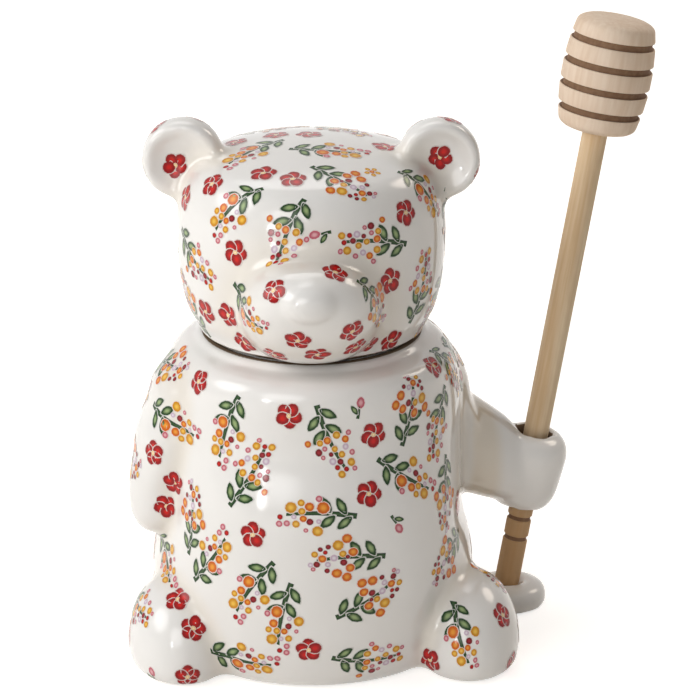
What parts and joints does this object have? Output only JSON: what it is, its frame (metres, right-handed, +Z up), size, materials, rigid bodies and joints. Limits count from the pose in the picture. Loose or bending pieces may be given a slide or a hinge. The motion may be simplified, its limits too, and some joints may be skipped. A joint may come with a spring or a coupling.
{
  "type": "honey pot with dipper",
  "caption": "Glazed ceramic honey pot shaped as a seated bear: the head lifts off as the lid, and a wooden honey dipper stands through the bear's ring-shaped hand.",
  "frame": {"origin": "middle of the pot's flat standing face", "axes": "+Z up along the pot's axis, the bear's belly faces -Y, the dipper stands on the +X side"},
  "size_m": [0.1417, 0.0918, 0.1624],
  "materials": {
    "white_glaze": "glossy white glaze over a small printed floral pattern",
    "handle_wood": "plain turned hardwood, unvarnished",
    "dipper_head_wood": "plain turned hardwood, unvarnished, paler than the handle"
  },
  "bodies": {
    "pot": {"pot_body": "white_glaze", "right_leg": "white_glaze", "left_leg": "white_glaze", "right_arm": "white_glaze", "left_arm_ring_hand": "white_glaze", "dipper_rest": "white_glaze"},
    "lid": {"head_shell": "white_glaze", "right_ear": "white_glaze", "left_ear": "white_glaze", "muzzle": "white_glaze"},
    "dipper": {"dipper_handle": "handle_wood", "dipper_head": "dipper_head_wood"}
  },
  "joints": [
    {"name": "lid_lift", "type": "slide", "parent": "pot", "child": "lid", "axis": [0, 0, 1], "range_m": [0, 0.06]},
    {"name": "dipper_lift", "type": "slide", "parent": "pot", "child": "dipper", "axis": [0.1742, 0.0402, 0.9839], "range_m": [0, 0.06]}
  ]
}
